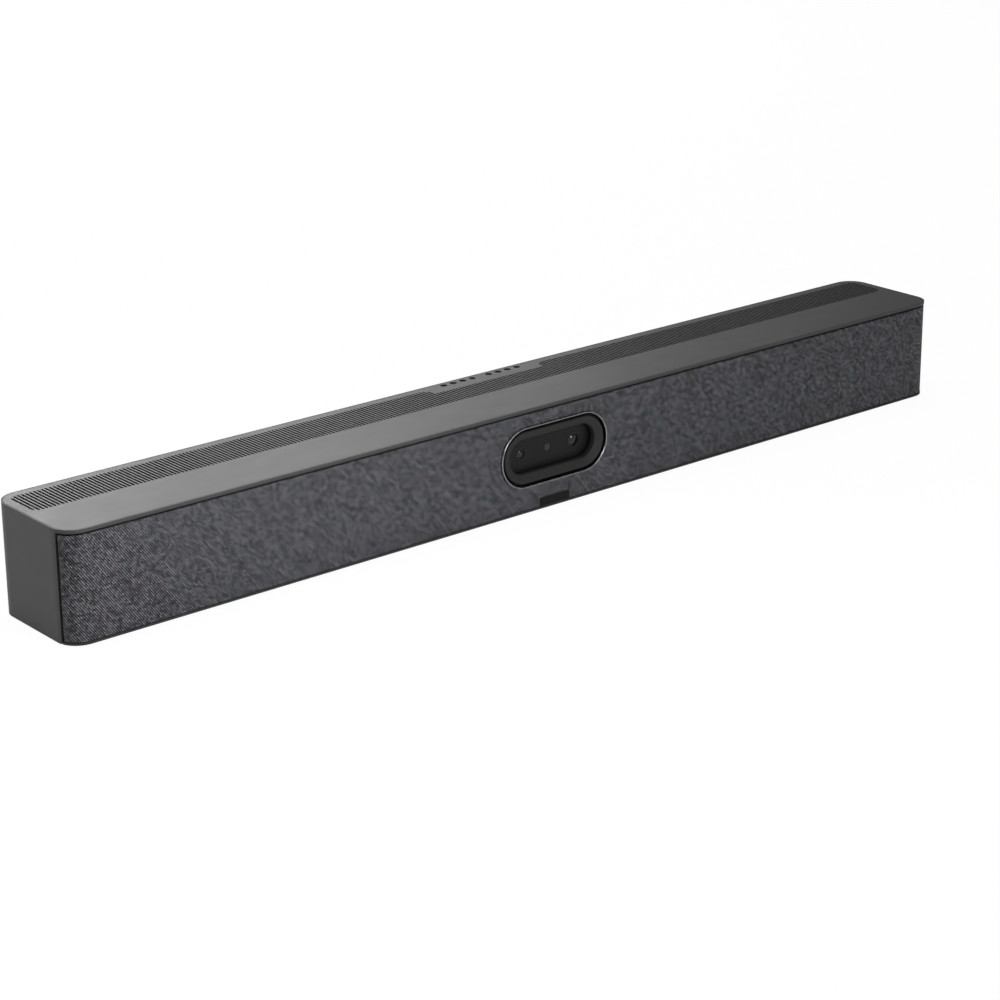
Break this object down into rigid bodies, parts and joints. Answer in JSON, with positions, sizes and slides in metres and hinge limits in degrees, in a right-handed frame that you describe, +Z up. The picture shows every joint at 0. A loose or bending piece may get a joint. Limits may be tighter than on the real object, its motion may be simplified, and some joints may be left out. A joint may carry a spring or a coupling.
{
  "type": "conference camera",
  "caption": "Long conference camera bar with a slotted top, cloth front, recessed camera window with sliding lens shutter, loudspeakers and a rear port bay",
  "frame": {"origin": "under the middle of the bar, on the surface that its feet stand on", "axes": "+X along the bar, to the right as seen from the front; +Y towards the back with the port bay and bracket inserts; +Z up"},
  "size_m": [0.785, 0.087, 0.0765],
  "materials": {
    "housing": "satin grey paint",
    "top_cover": "satin light grey paint",
    "bottom_plate": "matte dark grey paint",
    "front_baffle": "black moulded plastic",
    "grille_frame": "black moulded plastic",
    "grille_cloth": "grey speckled woven cloth",
    "name_tab": "bare black tab",
    "trim_ring": "bright bevelled ring",
    "window_bezel": "dark grey satin",
    "lens_panel": "dark satin panel",
    "wide_lens": "black barrel",
    "wide_glass": "coated front glass",
    "tele_lens": "black barrel",
    "tele_glass": "coated front glass",
    "light_sensor": "black window",
    "image_boards": "green circuit board",
    "camera_bracket": "die-cast",
    "camera_board": "green circuit board",
    "camera_flex": "amber flat cable",
    "shutter_plate": "black",
    "shutter_pinion": "natural plastic",
    "shutter_motor": "steel can",
    "mic_gasket": "soft foam rubber",
    "mic_board": "green circuit board",
    "mic_flex": "amber flat cable",
    "main_board": "green circuit board",
    "heat_sink": "extruded fins",
    "power_board": "green circuit board",
    "audio_board": "green circuit board",
    "board_links": "flat cable",
    "wifi_antennas": "printed foil",
    "port_panel": "black moulded plastic",
    "power_jack": "black",
    "ethernet_jack": "tinned shell",
    "hdmi_ports": "tinned shell",
    "usb_ports": "tinned shell",
    "audio_jack": "black",
    "reset_button": "dark grey",
    "left_speaker_box": "black moulded plastic",
    "right_speaker_box": "black moulded plastic",
    "left_basket": "black pressed steel",
    "right_basket": "black pressed steel",
    "left_magnet": "plated magnet",
    "right_magnet": "plated magnet",
    "left_cone": "coated paper",
    "right_cone": "coated paper",
    "left_surround": "soft rubber half roll",
    "right_surround": "soft rubber half roll",
    "speaker_leads": "red insulation",
    "bracket_inserts": "threaded brass",
    "rubber_feet": "soft black rubber",
    "bottom_screws": "plated steel",
    "baffle_screws": "plated steel",
    "camera_screws": "plated steel",
    "board_screws": "plated steel",
    "driver_screws": "plated steel",
    "speaker_box_screws": "plated steel",
    "port_panel_screws": "plated steel"
  },
  "bodies": {
    "frame": {"housing": "housing", "top_cover": "top_cover", "bottom_plate": "bottom_plate", "front_baffle": "front_baffle", "grille_frame": "grille_frame", "grille_cloth": "grille_cloth", "name_tab": "name_tab", "trim_ring": "trim_ring", "window_bezel": "window_bezel", "lens_panel": "lens_panel", "wide_lens": "wide_lens", "wide_glass": "wide_glass", "tele_lens": "tele_lens", "tele_glass": "tele_glass", "light_sensor": "light_sensor", "image_boards": "image_boards", "camera_bracket": "camera_bracket", "camera_board": "camera_board", "camera_flex": "camera_flex", "shutter_motor": "shutter_motor", "mic_gasket": "mic_gasket", "mic_board": "mic_board", "mic_flex": "mic_flex", "main_board": "main_board", "heat_sink": "heat_sink", "power_board": "power_board", "audio_board": "audio_board", "board_links": "board_links", "wifi_antennas": "wifi_antennas", "port_panel": "port_panel", "power_jack": "power_jack", "ethernet_jack": "ethernet_jack", "hdmi_ports": "hdmi_ports", "usb_ports": "usb_ports", "audio_jack": "audio_jack", "left_speaker_box": "left_speaker_box", "right_speaker_box": "right_speaker_box", "left_basket": "left_basket", "right_basket": "right_basket", "left_magnet": "left_magnet", "right_magnet": "right_magnet", "left_surround": "left_surround", "right_surround": "right_surround", "speaker_leads": "speaker_leads", "bracket_inserts": "bracket_inserts", "rubber_feet": "rubber_feet", "bottom_screws": "bottom_screws", "baffle_screws": "baffle_screws", "camera_screws": "camera_screws", "board_screws": "board_screws", "driver_screws": "driver_screws", "speaker_box_screws": "speaker_box_screws", "port_panel_screws": "port_panel_screws"},
    "shutter": {"shutter_plate": "shutter_plate"},
    "pinion": {"shutter_pinion": "shutter_pinion"},
    "button": {"reset_button": "reset_button"},
    "left_cone_body": {"left_cone": "left_cone"},
    "right_cone_body": {"right_cone": "right_cone"}
  },
  "joints": [
    {"name": "shutter_slide", "type": "slide", "parent": "frame", "child": "shutter", "axis": [0, 0, -1], "range_m": [0, 0.0211]},
    {"name": "pinion_spin", "type": "hinge", "parent": "frame", "child": "pinion", "pos_m": [0.05102, -0.0349, 0.0464], "axis": [0, -1, 0], "range_deg": [0, 255]},
    {"name": "reset_press", "type": "slide", "parent": "frame", "child": "button", "axis": [0, -1, 0], "range_m": [0, 0.0005], "stiffness_N_per_m": 400},
    {"name": "left_cone_stroke", "type": "slide", "parent": "frame", "child": "left_cone_body", "axis": [0, 1, 0], "range_m": [-0.002, 0.002], "stiffness_N_per_m": 1500},
    {"name": "right_cone_stroke", "type": "slide", "parent": "frame", "child": "right_cone_body", "axis": [0, 1, 0], "range_m": [-0.002, 0.002], "stiffness_N_per_m": 1500}
  ],
  "couplings": [
    {"joint": "pinion_spin", "follows": "shutter_slide", "rad_per_m": 208.33}
  ]
}
